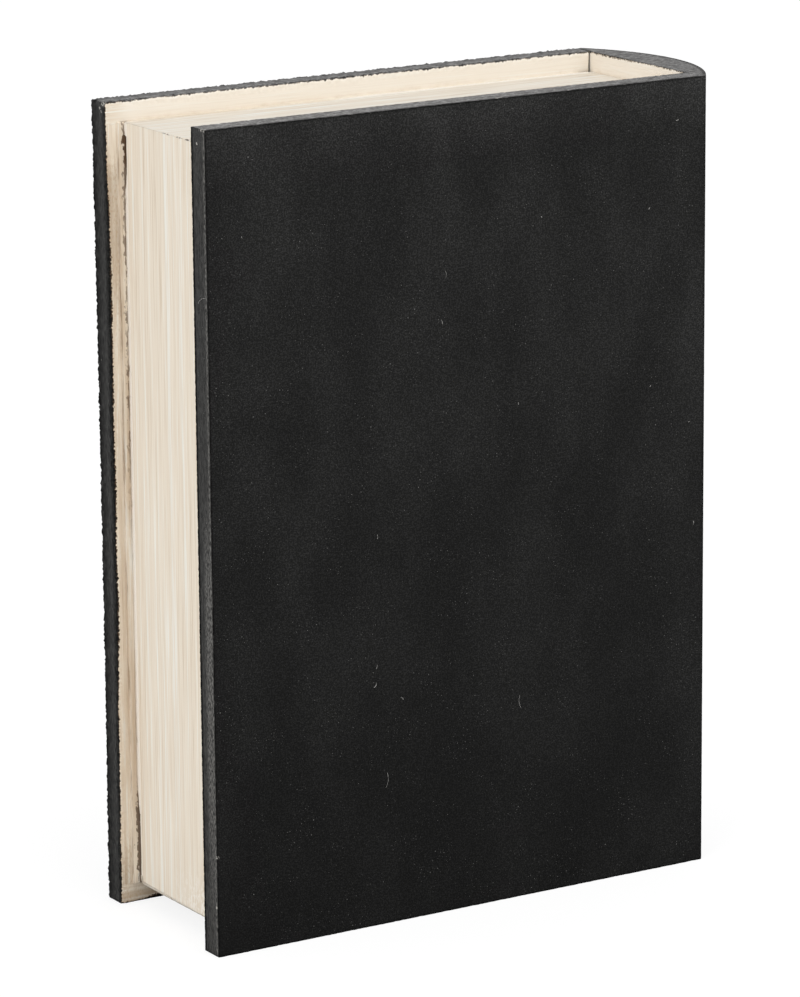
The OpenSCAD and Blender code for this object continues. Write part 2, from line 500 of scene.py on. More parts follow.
def cover_material(name, reach, brush, stain_and_shade, inky, scuffs, dust_sheen):
    """Black cloth that turns to cream paint where reach, in mm, is above 0."""
    material, tree, place = new_material(name)
    axes = add(tree, "SeparateXYZ", {0: place}).outputs
    ragged = swing(tree, place, (0.6, 0.6, 0.8), 2.0, shift=43.0)
    wander = swing(tree, place, 30, 1.6, detail=2.0, shift=49.0)
    past = plus(tree, reach(tree, axes), ragged, wander)
    cloth = cloth_parts(tree, place, inky(tree, axes), scuffs, dust_sheen(tree, axes))
    past_head, past_tail = margins(tree, place, axes)
    # Painted light: the margin above the page block is kept free of stain and painted paler.
    inboard = window(tree, axes["X"], LID_LOW.x + 3 * MM, LID_LOW.x + 12 * MM)
    clean_lit = times(tree, window(tree, past_head, -2.0, 2.5), inboard)
    # The stain beside the page block grows towards the head: partly real stain, partly painted shade of that
    # recess.
    upwards = window(tree, axes["Z"], COVER_LOW.z + 0.190, COVER_HIGH.z - 0.030, 0.72 * stain_and_shade, 1.40 * stain_and_shade)
    near_head = window(tree, axes["Z"], COVER_HIGH.z - 0.030, COVER_HIGH.z - 0.012, 1.0, 0.25)
    near_tail = window(tree, axes["Z"], COVER_LOW.z + 0.034, COVER_LOW.z + 0.012, 1.0, 1.7)
    soiled_shaded = window(tree, clean_lit, 0.0, 1.0, 1.0, 0.05)
    stained_shaded = times(tree, upwards, near_head, near_tail, soiled_shaded)
    paint = paint_parts(tree, brush(tree, place, axes), stained_shaded)
    # Painted shade: the paint is darkened where that stain is strongest.
    tanned_shaded = shade(tree, paint[0], window(tree, stained_shaded, 0.55, 0.90, 1.0, 0.83))
    flecks = window(tree, grain(tree, place, (0.6, 0.6, 1.5), 4.0, shift=61.0), 0.50, 0.62)
    flecked = times(tree, flecks, window(tree, stained_shaded, 0.30, 0.90, 0.0, 0.50))
    pale = tint(tree, flecked, tanned_shaded, PAINT_STAIN_AND_SHADE)
    from_line = swing(tree, place, (1.6, 1.6, 9.0), 1.0, shift=63.0)
    from_line = add(tree, "Math", {0: from_line}, operation="ABSOLUTE").outputs[0]
    cracked = window(tree, stained_shaded, 0.35, 0.85, 0.0, 0.5)
    crackle = times(tree, window(tree, from_line, 0.015, 0.004), cracked)
    pale = tint(tree, crackle, pale, PAINT_STAIN_AND_SHADE)
    # Painted light: the paler paint on that margin.
    pale = tint(tree, times(tree, clean_lit, 0.75), pale, PAINT_PALE_LIT)
    painted = window(tree, past, 0.14, 0.32)
    # The line just before the paint: bare glue and painted shade, pale on the lit margin.
    glue_and_shade = window(tree, past, -0.30, -0.10)
    colour = tint(tree, glue_and_shade, cloth[0], tint(tree, clean_lit, GLUE_SHADE_LINE, GLUE_PALE_LIT))
    colour = tint(tree, painted, colour, pale)
    roughness = add(tree, "Mix", {0: painted, 2: cloth[1], 3: paint[1]}).outputs[0]
    height = add(tree, "Mix", {0: painted, 2: cloth[2], 3: paint[2]}).outputs[0]
    surface(tree, colour, roughness, height, CLOTH_RELIEF, **CLOTH_GLOSS)
    return material


def box_inky(tree, axes):
    """The arrises of the near cover and the spine's outer arris are pressed black, a little broken."""
    broken = window(tree, grain(tree, rejoined(tree, axes), 2.5, 3.0, shift=51.0), 0.30, 0.50, 0.45, 1.0)
    head_end = window(tree, axes["Z"], COVER_HIGH.z - 2.0 * MM, COVER_HIGH.z - 1.0 * MM, 1.0, 0.70)
    return times(tree, broken, head_end)


def lid_inky(tree, axes):
    """The lid's upright arrises are black. Its top arrises keep the grey of dust and painted sheen, with
    black patches.
    """
    uneven = grain(tree, rejoined(tree, axes), 3.5, 3.0, shift=52.0)
    patches = window(tree, uneven, 0.42, 0.58, 0.25, 0.85)
    rear = window(tree, in_mm(tree, axes["Y"], LID_HIGH.y, -1.0), 5.0, 3.0, 0.10, 1.0)
    below = window(tree, in_mm(tree, axes["Z"], LID_HIGH.z, -1.0), 1.0, 2.5)
    broken = window(tree, uneven, 0.32, 0.56, 0.45, 1.0)
    inner = window(tree, in_mm(tree, axes["Y"], LID_LOW.y, 1.0), 0.4, 1.8, 0.30, 1.0)
    return times(tree, most(tree, times(tree, patches, rear), times(tree, below, broken)), inner)


def box_dust_sheen(tree, axes):
    """The grey of dust and painted sheen is thickest on the near cover's head, less towards the spine, and
    less again on the spine.
    """
    towards_spine = window(tree, axes["X"], COVER_LOW.x + 110 * MM, COVER_LOW.x + 185 * MM, 1.0, 0.80)
    on_spine = window(tree, axes["X"], SPINE_LOW.x - 1 * MM, SPINE_LOW.x + 1 * MM, 1.0, 0.92)
    return times(tree, towards_spine, on_spine)


def lid_dust_sheen(tree, axes):
    """The grey of dust and painted sheen on the lid's head is a little darker than on the near cover's, and
    palest beside the paint.
    """
    return window(tree, axes["Y"], LID_LOW.y + 2 * MM, LID_LOW.y + 6 * MM, 0.90, 0.66)


def on_cover(x, y, z):
    """A place measured in mm from the near cover's lower left corner."""
    return COVER_LOW + Vector((x, y, z)) * MM


COVER_SCUFFS = (
    (on_cover(0.4, 1.0, 299.7), 0.9 * MM), (on_cover(0.4, 2.8, 299.7), 0.9 * MM),
    (on_cover(0.5, 4.3, 299.6), 0.7 * MM), (on_cover(0.0, 5.8, 294.6), 0.7 * MM),
    (on_cover(0.4, 0.5, 37.5), 0.9 * MM), (on_cover(0.3, 0.9, 18.6), 0.9 * MM),
    (on_cover(59.4, 1.0, 300.0), 1.0 * MM), (on_cover(120.6, 1.0, 300.0), 0.9 * MM),
    (on_cover(122.0, 1.0, 300.0), 0.9 * MM), (on_cover(151.3, 1.0, 300.0), 0.8 * MM),
    (on_cover(161.4, 1.0, 300.0), 1.0 * MM),
)
LID_SCUFFS = (
    (on_cover(0.5, 73.3, 299.4), 1.4 * MM), (on_cover(0.0, 75.5, 297.6), 0.7 * MM),
    (on_cover(0.0, 74.6, 296.4), 0.6 * MM), (on_cover(0.0, 79.0, 205.0), 0.6 * MM),
)
BOX_CLOTH = cover_material(
    "black_cloth_box", box_reach, lambda tree, place, axes: strokes(tree, place, ALONG_Y), 0.18,
    box_inky, COVER_SCUFFS, box_dust_sheen,
)
LID_CLOTH = cover_material(
    "black_cloth_lid", lid_reach, lid_strokes, 0.62, lid_inky, LID_SCUFFS, lid_dust_sheen,
)

# %% [markdown]
# ## Paint on the walls
# The page block and the panel are painted all over, so they need no cloth. The rims of the walls are bare
# and dark brown where the lid closes on them, partly bare board and partly painted shade that darkens the
# seam. The open part of the mitre shows a dark crack, and a painted shadow line lies along the lower arris.
# Fresh paint stands in dabs low on the pages and in a ridge along their rear arris, and that ridge and the
# run along the head carry a pale painted highlight. The head and tail are tinted a shade darker and cooler
# than the fore edge, as painted shade for the light that falls on the head. On the panel a ragged brown line
# follows the seam as its painted shadow, and the paint has split along the arris.

# %% Wall paint
# Bare board on the rims, dark enough to stand for the seam's shade as well.
RIM_BARE_SHADE = (0.300, 0.200, 0.120)
CRACK_DARK = (0.060, 0.038, 0.024)
CRACK_BROWN = (0.250, 0.165, 0.100)
# Brown for the painted shadow of the seam on the panel.
SEAM_SHADOW_BROWN = (0.135, 0.080, 0.045)
CRACK_END = 36 * MM


def crack_mask(tree, place, axes):
    """A broken dark line along the arris of head and fore edge, near the near cover."""
    down = in_mm(tree, axes["Z"], HEAD_HIGH.z, -1.0)
    back_in = in_mm(tree, axes["X"], FORE_LOW.x, 1.0)
    near = window(tree, most(tree, down, back_in), 0.50, 0.28)
    broken = window(tree, grain(tree, place, 3.0, 3.0, shift=48.0), 0.46, 0.56)
    reach = window(tree, axes["Y"], FORE_LOW.y + CRACK_END, FORE_LOW.y + CRACK_END - 6 * MM)
    return times(tree, near, broken, reach)


def seam_shadow_line(tree, place, axes):
    """A ragged brown line on the panel beside the seam, the seam's painted shadow: at the head, at the tail,
    and in patches between.
    """
    ragged = swing(tree, place, (0.9, 0.9, 2.2), 5.0, shift=67.0)
    past = plus(tree, in_mm(tree, axes["X"], FORE_LOW.x, 1.0), ragged)
    across = times(tree, window(tree, past, -0.75, -0.45), window(tree, past, 1.8, 1.2))
    down = in_mm(tree, axes["Z"], HEAD_HIGH.z, -1.0)
    at_head = times(tree, window(tree, down, 28.0, 13.0), window(tree, down, 4.0, 5.0))
    at_tail = window(tree, axes["Z"], TAIL_LOW.z + 44 * MM, TAIL_LOW.z + 32 * MM, 0.0, 0.85)
    patches = window(tree, grain(tree, place, 6, 2.0, shift=53.0), 0.34, 0.58, 0.55, 1.0)
    upper = window(tree, axes["Z"], TAIL_LOW.z + 0.120, TAIL_LOW.z + 0.190, 0.03, 0.72)
    return times(tree, across, most(tree, at_head, at_tail, times(tree, patches, upper)))


def panel_crack(tree, place, axes):
    """A thin broken crack where the paint has split along the panel's fore-edge arris."""
    across = window(tree, axes["X"], PANEL_LOW.x + 0.38 * MM, PANEL_LOW.x + 0.20 * MM)
    wide = grain(tree, place, (2.0, 2.0, 14.0), 4.0, shift=57.0)
    return times(tree, across, window(tree, wide, 0.38, 0.68, 0.08, 0.70))


def panel_edge_highlight(tree, axes):
    """A pale painted highlight on the panel's head edge, from the middle of the box to the spine."""
    on_edge = window(tree, axes["Z"], PANEL_HIGH.z - 0.5 * MM, PANEL_HIGH.z - 0.2 * MM)
    return times(tree, on_edge, head_run_highlight(tree, axes))


def head_run_highlight(tree, axes):
    """The run of paint along the head carries a pale painted highlight from the middle of the box to the
    spine.
    """
    return window(tree, axes["X"], COVER_LOW.x + 88 * MM, COVER_LOW.x + 112 * MM, 0.0, 0.9)


def arris_ridge_highlight(tree, axes):
    """A pale painted highlight on the ridge of paint along the page block's rear arris."""
    return window(tree, axes["Y"], FORE_HIGH.y - 1.3 * MM, FORE_HIGH.y - 0.6 * MM, 0.0, 0.65)


def page_dabs_highlight(tree, axes):
    """Dabs of fresh paint low down on the pages beside the near cover, and the painted highlight on the ridge
    at their rear.
    """
    specks = grain(tree, rejoined(tree, axes), (1.1, 1.1, 2.0), 3.0, shift=65.0)
    dabs = window(tree, specks, 0.48, 0.60)
    low = window(tree, axes["Z"], TAIL_LOW.z + 20 * MM, TAIL_LOW.z + 3 * MM)
    beside = window(tree, axes["Y"], FORE_LOW.y + 44 * MM, FORE_LOW.y + 12 * MM)
    return most(tree, times(tree, dabs, low, beside, 0.8), arris_ridge_highlight(tree, axes))


def wall_marks(tree, place, axes, colour):
    """The bare rim, darkened partly as painted shade of the seam, the open mitre, and a painted shadow line
    along the lower arris.
    """
    # The rim is dark brown: bare board, and painted shade that darkens the seam.
    rim = window(tree, axes["Y"], FORE_HIGH.y - 0.06 * MM, FORE_HIGH.y - 0.02 * MM)
    proud = window(tree, axes["Y"], FORE_HIGH.y + 0.02 * MM, FORE_HIGH.y + 0.06 * MM)
    # Painted shadow: a dark line along the lower arris.
    low = window(tree, axes["Z"], TAIL_LOW.z + 0.32 * MM, TAIL_LOW.z + 0.10 * MM, 0.0, 0.75)
    colour = tint(tree, minus(tree, rim, proud), colour, RIM_BARE_SHADE)
    colour = tint(tree, crack_mask(tree, place, axes), colour, CRACK_DARK)
    return tint(tree, low, colour, CRACK_DARK)


def panel_stain_and_shade(tree, axes, stain_and_shade):
    """The panel is stained where it shows beside the page block, partly as painted shade of that recess, and
    a little at its ends.
    """
    beside = window(tree, axes["X"], FORE_LOW.x + 3 * MM, FORE_LOW.x + 6 * MM, stain_and_shade, 0.06)
    from_tail = in_mm(tree, axes["Z"], PANEL_LOW.z, 1.0)
    ends = least(tree, from_tail, in_mm(tree, axes["Z"], PANEL_HIGH.z, -1.0))
    return most(tree, beside, window(tree, ends, 2.0, 0.5, 0.0, 0.3 * stain_and_shade))


def panel_marks(tree, place, axes, colour):
    """Calmer paint inside the box, the painted brown shadow along the seam, and the split arris."""
    inside = window(tree, axes["X"], FORE_LOW.x + 3 * MM, FORE_LOW.x + 8 * MM, 0.0, 0.6)
    colour = tint(tree, inside, colour, PAINT_BODY)
    colour = tint(tree, seam_shadow_line(tree, place, axes), colour, SEAM_SHADOW_BROWN)
    return tint(tree, panel_crack(tree, place, axes), colour, CRACK_BROWN)


def paint_material(name, along, stain_and_shade, fresh_and_highlight, wall=True, tone=(1.0, 1.0, 1.0)):
    """Cream paint with no cloth. Fresh_and_highlight says where it is palest, from fresh paint and painted
    highlight, and tone tints the whole of it.
    """
    material, tree, place = new_material(name)
    axes = add(tree, "SeparateXYZ", {0: place}).outputs
    if not wall:
        stain_and_shade = panel_stain_and_shade(tree, axes, stain_and_shade)
    colour, roughness, height = paint_parts(tree, strokes(tree, place, along), stain_and_shade)
    colour = add(tree, "VectorMath", {0: colour, 1: tone}, operation="MULTIPLY").outputs[0]
    colour = tint(tree, fresh_and_highlight(tree, axes), colour, PAINT_FRESH_HIGHLIGHT)
    colour = (wall_marks if wall else panel_marks)(tree, place, axes, colour)
    surface(tree, colour, roughness, height, PAINT_RELIEF, Specular_IOR_Level=0.25)
    return material


# Painted shade: the level walls are tinted darker and cooler for the strong light that falls on the head.
HEAD_SHADE_TONE = (0.918, 0.944, 0.980)
PAINT_UPRIGHT = paint_material("page_paint_upright", ALONG_Z, 0.10, page_dabs_highlight)
PAINT_LEVEL = paint_material("page_paint_level", ALONG_X, 0.10, arris_ridge_highlight, tone=HEAD_SHADE_TONE)
PAINT_PANEL = paint_material("panel_paint", ALONG_Z_SHORT, 0.70, panel_edge_highlight, wall=False)
PAINT_BEAD = paint_material("bead_paint", ALONG_Z_SHORT, 0.30, arris_ridge_highlight)
PAINT_RUN = paint_material("run_paint", ALONG_X, 0.10, head_run_highlight)
print("cloth and paint materials made")

# %% [markdown]
# ## Helpers for shaping
# A slab such as a book cover is not a perfect box: its arrises are round, and the cloth over them is
# knobbly. The box gets a real bevel, a band of small faces round its rim and nothing in the middle of its
# large faces, so the detail is where the eye sees it. The faces that the bevel makes are marked, and the
# mark becomes the wear attribute. Noise moves the small faces, and a piece that stands on the floor is
# pressed flat again underneath.

# %% Shaping helpers
def clamp(value):
    """Keeps a value between 0 and 1."""
    return max(0.0, min(1.0, value))


def points_in(items):
    """The points among the things that an operator gives back."""
    return [item for item in items if isinstance(item, bmesh.types.BMVert)]


def rounded_mark(bm):
    """The layer that marks the faces of rounded arrises."""
    return bm.faces.layers.int.get("rounded") or bm.faces.layers.int.new("rounded")


def new_block(low, high):
    """A bmesh box between two corners."""
    bm = bmesh.new()
    bmesh.ops.create_cube(bm, size=1.0)
    bmesh.ops.scale(bm, verts=bm.verts, vec=high - low)
    bmesh.ops.translate(bm, verts=bm.verts, vec=(low + high) / 2)
    return bm


def round_arrises(bm, edges, radius, steps=4):
    """Bevels edges and marks the faces that this makes."""
    mark = rounded_mark(bm)
    made = bmesh.ops.bevel(
        bm, geom=edges, offset=radius, offset_type="OFFSET", affect="EDGES",
        segments=steps, profile=0.5, material=-1, clamp_overlap=True,
    )
    for face in made["faces"]:
        face[mark] = 1


def open_band(bm, faces, width):
    """Insets flat faces by a band and takes out their middles, which are filled again after the cuts."""
    for face in faces:
        bmesh.ops.inset_region(bm, faces=[face], thickness=width, use_even_offset=True, use_boundary=True)
    bmesh.ops.delete(bm, geom=faces, context="FACES")


def cut_along(bm, axis, shortest, step):
    """Cuts the edges that run along an axis into lengths of about one step."""
    chosen = []
    for edge in bm.edges:
        run = edge.verts[1].co - edge.verts[0].co
        if run.length > shortest and abs(run[axis]) > 0.97 * run.length:
            chosen.append(edge)
    longest = max(edge.calc_length() for edge in chosen)
    cuts = max(1, round(longest / step) - 1)
    bmesh.ops.subdivide_edges(bm, edges=chosen, cuts=cuts, use_grid_fill=True)


def cut_band(bm, width, cuts):
    """Cuts the short edges that cross a band of a given width."""
    chosen = [edge for edge in bm.edges if 0.95 * width < edge.calc_length() < 1.6 * width]
    bmesh.ops.subdivide_edges(bm, edges=chosen, cuts=cuts, use_grid_fill=True)


def close_middles(bm):
    """Fills the flat holes and points every face outwards."""
    rims = [edge for edge in bm.edges if edge.is_boundary]
    bmesh.ops.holes_fill(bm, edges=rims, sides=0)
    bmesh.ops.recalc_face_normals(bm, faces=bm.faces)


def roughen(bm, amount, size, weight):
    """Moves points along their normals by a knobbly noise. Weight says how much of it a point takes."""
    bm.normal_update()
    for vert in bm.verts:
        share = weight(vert.co)
        if share > 0.0:
            coarse = noise.noise(vert.co / size)
            fine = noise.noise(vert.co / (size * 0.45) + Vector((5.0, 9.0, 2.0)))
            vert.co += vert.normal * amount * share * (coarse + 0.9 * fine)


def stand_flat(bm, level):
    """Presses the points that noise has moved below a level back to it, where the piece stands."""
    for vert in bm.verts:
        vert.co.z = max(vert.co.z, level)


def finish_piece(name, bm, material, body, rub=None, press=None):
    """Makes an object of a bmesh, with attributes for arrises and rubbed places, a body and a slot."""
    mark = rounded_mark(bm)
    worn = {"arris": [], "rubbed": []}
    for vert in bm.verts:
        linked = [face[mark] for face in vert.link_faces]
        share = sum(linked) / max(1, len(linked))
        worn["arris"].append(max(share, press(vert.co)) if press else share)
        worn["rubbed"].append(rub(vert.co) if rub else 0.0)
    bm.faces.layers.int.remove(mark)
    mesh = bpy.data.meshes.new(name)
    bm.to_mesh(mesh)
    bm.free()
    for layer, values in worn.items():
        mesh.attributes.new(layer, "FLOAT", "POINT")
        mesh.attributes[layer].data.foreach_set("value", values)
    mesh.materials.append(material)
    mesh.shade_smooth()
    piece = bpy.data.objects.new(name, mesh)
    bpy.context.collection.objects.link(piece)
    if body:
        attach(piece, body)
    mesh.calc_loop_triangles()
    print(name, "has", len(mesh.loop_triangles), "triangles")
    return piece

# %% [markdown]
# ## Near cover and rounded spine
# The near cover and the spine are one skin of cloth with no joint to be seen, so they are one piece. It
# could be a slab and a half-round stuck together, but a seam would show. Instead the outline seen from
# above is drawn once: a circle is trimmed to the spine's D, its flat back is drawn out into the cover,
# and the outline is extruded upwards.

# %% Plan of cover and spine
def spine_arc():
    """Radius and middle of the arc, from the spine node's points."""
    points = [vert.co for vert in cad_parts["spine_cloth"].data.vertices]
    edge_x = max(point.x for point in points if point.y < SPINE_LOW.y + 0.05 * MM)
    rise = SPINE_HIGH.x - edge_x
    half = (SPINE_HIGH.y - SPINE_LOW.y) / 2
    radius = (half * half + rise * rise) / (2 * rise)
    return radius, Vector((SPINE_HIGH.x - radius, SPINE_LOW.y + half, SPINE_LOW.z))


def trim(bm, place, direction):
    """Cuts away what lies past a plane."""
    everything = bm.verts[:] + bm.edges[:] + bm.faces[:]
    return bmesh.ops.bisect_plane(
        bm, geom=everything, dist=1e-7, plane_co=place, plane_no=direction, clear_outer=True,
    )


BACK_FILM = 0.12 * MM
BACK_X = SPINE_LOW.x - BACK_FILM
ARC_RADIUS, ARC_MIDDLE = spine_arc()
plan = bmesh.new()
bmesh.ops.create_circle(plan, cap_ends=True, radius=ARC_RADIUS, segments=256)
bmesh.ops.translate(plan, verts=plan.verts, vec=ARC_MIDDLE)
trim(plan, Vector((BACK_X, 0, 0)), (-1, 0, 0))
trim(plan, SPINE_LOW, (0, -1, 0))
trim(plan, SPINE_HIGH, (0, 1, 0))
back = max(plan.edges, key=lambda edge: edge.calc_length())
split = bmesh.ops.subdivide_edges(plan, edges=[back], cuts=1)
corner = points_in(split["geom_inner"])[0]
corner.co.y = COVER_HIGH.y
low_back = next(edge for edge in corner.link_edges if edge.other_vert(corner).co.y < corner.co.y)
drawn = bmesh.ops.extrude_edge_only(plan, edges=[low_back])["geom"]
bmesh.ops.translate(plan, verts=points_in(drawn), vec=(COVER_LOW.x - BACK_X, 0, 0))
joint_points = [vert for vert in low_back.verts if vert is not corner]
bmesh.ops.dissolve_edges(plan, edges=[low_back], use_verts=False)
bmesh.ops.dissolve_verts(plan, verts=joint_points)
print("arc radius in mm:", round(ARC_RADIUS / MM, 2), "points in the plan:", len(plan.verts))

# %% [markdown]
# The plan is extruded to the full height. The head and tail edges and the upright corners are rounded
# together. The two large faces and the spine's flat back get bands, and each long edge is cut into short
# lengths. The cap over the cover is split from the cap over the spine first, so that the strip between
# the cover's faces can take a grid.

# %% Shape the cover and the spine
ARRIS = 0.8 * MM
BAND = 3.0 * MM
STEP = 0.8 * MM
SHARP = math.radians(30)
LONG_RUN = 100 * MM
SPINE_ACROSS = 20 * MM
COVER_ACROSS = 7 * MM


def is_level(edge):
    """True for an edge of the head or tail."""
    return abs(edge.verts[0].co.z - edge.verts[1].co.z) < 1e-6


def sharp_upright(edge):
    """True for an upright edge between faces at a clear angle, apart from the inner corner."""
    inner = (edge.verts[0].co - Vector((BACK_X, COVER_HIGH.y, 0))).xy.length < 0.1 * MM
    return not is_level(edge) and not inner and edge.calc_face_angle() > SHARP


def nearest(points, x, y):
    """The point whose plan position is nearest."""
    return min(points, key=lambda vert: (vert.co.x - x) ** 2 + (vert.co.y - y) ** 2)


def shape_cover_and_spine(bm):
    """Extrudes the plan, rounds it, and cuts a fine grid where the shape bends."""
    raised = bmesh.ops.extrude_face_region(bm, geom=bm.faces[:])["geom"]
    bmesh.ops.translate(bm, verts=points_in(raised), vec=(0, 0, SPINE_HIGH.z - SPINE_LOW.z))
    bmesh.ops.recalc_face_normals(bm, faces=bm.faces)
    arrises = [edge for edge in bm.edges if is_level(edge) or sharp_upright(edge)]
    round_arrises(bm, arrises, ARRIS)
    caps = sorted(bm.faces, key=lambda face: len(face.verts))[-2:]
    for cap in caps:
        inner = nearest(cap.verts, BACK_X + ARRIS, COVER_HIGH.y - ARRIS)
        outer = nearest(cap.verts, BACK_X + 1.6 * MM, COVER_LOW.y + ARRIS)
        bmesh.ops.connect_verts(bm, verts=[inner, outer])
    large = [face for face in bm.faces if face.calc_area() > 0.01 and abs(face.normal.z) < 0.5]
    open_band(bm, large, BAND)
    for axis, shortest in ((2, LONG_RUN), (0, LONG_RUN), (1, SPINE_ACROSS), (1, COVER_ACROSS)):
        cut_along(bm, axis, shortest, STEP)
    cut_band(bm, BAND, 3)
    close_middles(bm)


shape_cover_and_spine(plan)
print("faces in cover and spine:", len(plan.faces))

# %% [markdown]
# Cloth is never quite smooth. The points near the rim are moved a little along their normals by noise,
# more on the fore edge than on the spine, and not at all on the flats, where the weave in the material is
# enough. Where the spine meets the inside of the box the cut edge of the cloth is ragged, so the points
# along that arris take more. Rubbed and pressed places are worked out point by point here too, in mm from
# the corners.

# %% Roughen the cover and the spine
COVER_ROUGH = 0.11 * MM
COVER_NUB = 1.5 * MM
COVER_RIM = 2.6 * MM
RIM_FADE = 2.0 * MM
COVER_CALM = 0.2
SPINE_CALM = 0.35
SPINE_RAGGED = 1.6
CAP_STEP = 1.0 * MM
ON_EDGE = 0.4 * MM


def slice_region(bm, region, axis, step):
    """Cuts a flat region into strips across an axis and returns the region."""
    spots = [vert.co[axis] for vert in points_in(region)]
    low, high = min(spots), max(spots)
    direction = Vector((0, 0, 0))
    direction[axis] = 1.0
    count = round((high - low) / step)
    for number in range(1, count):
        place = direction * (low + number * (high - low) / count)
        cut = bmesh.ops.bisect_plane(bm, geom=region, dist=1e-6, plane_co=place, plane_no=direction)
        region = cut["geom"]
    return region


def slice_caps(bm, step):
    """Gives the two caps of the spine a grid of their own."""
    caps = [face for face in bm.faces if len(face.verts) > 100 and abs(face.normal.z) > 0.9]
    for cap in caps:
        region = slice_region(bm, [cap, *cap.edges, *cap.verts], 1, step)
        slice_region(bm, region, 0, step)


def cover_weight(point):
    """How knobbly the cloth is at a point of the near cover and the spine."""
    from_end = min(point.z - COVER_LOW.z, COVER_HIGH.z - point.z)
    if point.x > SPINE_LOW.x - 0.5 * MM:
        inner_arris = abs(point.x - BACK_X) < 1.2 * MM and point.y > COVER_HIGH.y
        return SPINE_RAGGED if inner_arris and from_end < 1.5 * MM else SPINE_CALM
    from_rim = min(from_end, point.x - COVER_LOW.x)
    if from_rim >= COVER_RIM:
        return 0.0
    from_face = min(point.y - COVER_LOW.y, COVER_HIGH.y - point.y)
    return max(COVER_CALM, clamp((COVER_RIM - max(from_rim, from_face)) / RIM_FADE))


def cover_rub(point):
    """The fore edge is rubbed pale in a line beside the near cover's face, and in a wide band lower down."""
    if point.x > COVER_LOW.x + ON_EDGE:
        return 0.0
    height = (point.z - COVER_LOW.z) / MM
    from_face = (point.y - COVER_LOW.y) / MM
    low_down = clamp((172 - height) / 40) * max(0.2, min(1.0, (height + 5) / 70))
    line = 0.8 * max(0.0, 1.0 - abs(from_face - 1.1) / 0.9)
    band = 0.56 * low_down * clamp((3.2 - abs(from_face - 3.1)) / 1.9)
    return max(line, band)


def cover_press(point):
    """The cloth is pressed black in strips at head and tail, and along the fore edge."""
    from_face = (point.y - COVER_LOW.y) / MM
    if min(point.z - COVER_LOW.z, COVER_HIGH.z - point.z) < ON_EDGE:
        if point.x > SPINE_LOW.x:
            from_arc = (ARC_RADIUS - (point.xy - ARC_MIDDLE.xy).length) / MM
            return clamp((2.0 - from_arc) / 1.0)
        return clamp((1.7 - from_face) / 0.8)
    if point.x < COVER_LOW.x + ON_EDGE:
        return clamp(((point.y - COVER_HIGH.y) / MM + 1.6) / 0.6)
    return 0.0


slice_caps(plan, CAP_STEP)
roughen(plan, COVER_ROUGH, COVER_NUB, cover_weight)
stand_flat(plan, COVER_LOW.z)
bmesh.ops.recalc_face_normals(plan, faces=plan.faces)
cover = finish_piece("cover_and_spine", plan, BOX_CLOTH, "box", cover_rub, cover_press)
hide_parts("base_cloth", "spine_cloth")

# %% [markdown]
# ## The lid
# The far cover is a plain slab, so it starts from a box. Its cloth is coarser and its rim is rougher than
# the near cover's, apart from the tail, where it stands and has been pressed smooth. The board has bowed
# inwards by half a millimetre at mid height. Its hinge end stays square and black, and stops just short
# of the board that it stands for.

# %% Shape the lid
LID_ROUND = 1.2 * MM
LID_ROUGH = 0.44 * MM
LID_NUB = 1.2 * MM
LID_STEP = 0.55 * MM
LID_RIM = 2.8 * MM
LID_FOOT = 3.0 * MM
LID_CALM = 0.15
LID_BOW = 0.5 * MM
LID_SETBACK = 0.05 * MM


def edged_slab(low, high, radius, band, step, open_end=None):
    """A slab in X and Z with round arrises and a fine rim. The arrises of an open end stay square."""
    bm = new_block(low, high)
    arrises = []
    for edge in bm.edges:
        at_end = open_end is not None and all(abs(vert.co.x - open_end) < 1e-6 for vert in edge.verts)
        if not at_end:
            arrises.append(edge)
    round_arrises(bm, arrises, radius)
    open_band(bm, [face for face in bm.faces if abs(face.normal.y) > 0.99 and face.calc_area() > 0.001], band)
    cut_along(bm, 2, LONG_RUN, step)
    cut_along(bm, 0, LONG_RUN, step)
    if high.y - low.y > 4 * step:
        cut_along(bm, 1, 0.5 * (high.y - low.y), step)
    cut_band(bm, band, max(1, round(band / step) - 1))
    close_middles(bm)
    return bm


def lid_weight(point):
    """How knobbly the lid's cloth is: most along its free arrises, and little where it stands."""
    from_rim = min(point.z - LID_LOW.z, LID_HIGH.z - point.z, point.x - LID_LOW.x)
    if from_rim > LID_RIM:
        return 0.0
    if point.z - LID_LOW.z < LID_RIM and point.x - LID_LOW.x > LID_FOOT:
        return LID_CALM
    from_face = min(point.y - LID_LOW.y, LID_HIGH.y - point.y)
    return max(LID_CALM, clamp((LID_RIM - max(from_rim, from_face)) / RIM_FADE))


def lid_press(point):
    """The cloth is pressed black beside the lid's outer face, at the head and along the fore edge."""
    from_outside = (LID_HIGH.y - point.y) / MM
    if point.x < LID_LOW.x + 0.6 * MM:
        return clamp((6.8 - from_outside) / 6.0)
    if LID_HIGH.z - point.z < 1.2 * MM:
        return clamp((2.1 - from_outside) / 0.8)
    return 0.0


def bow(bm, depth):
    """Draws the fore edge in towards mid height."""
    middle = (LID_LOW.z + LID_HIGH.z) / 2
    half = (LID_HIGH.z - LID_LOW.z) / 2
    reach = LID_HIGH.x - LID_LOW.x
    for vert in bm.verts:
        along = (vert.co.z - middle) / half
        share = max(0.0, 1.0 - (vert.co.x - LID_LOW.x) / (0.5 * reach))
        vert.co.x += depth * (1.0 - along * along) * share


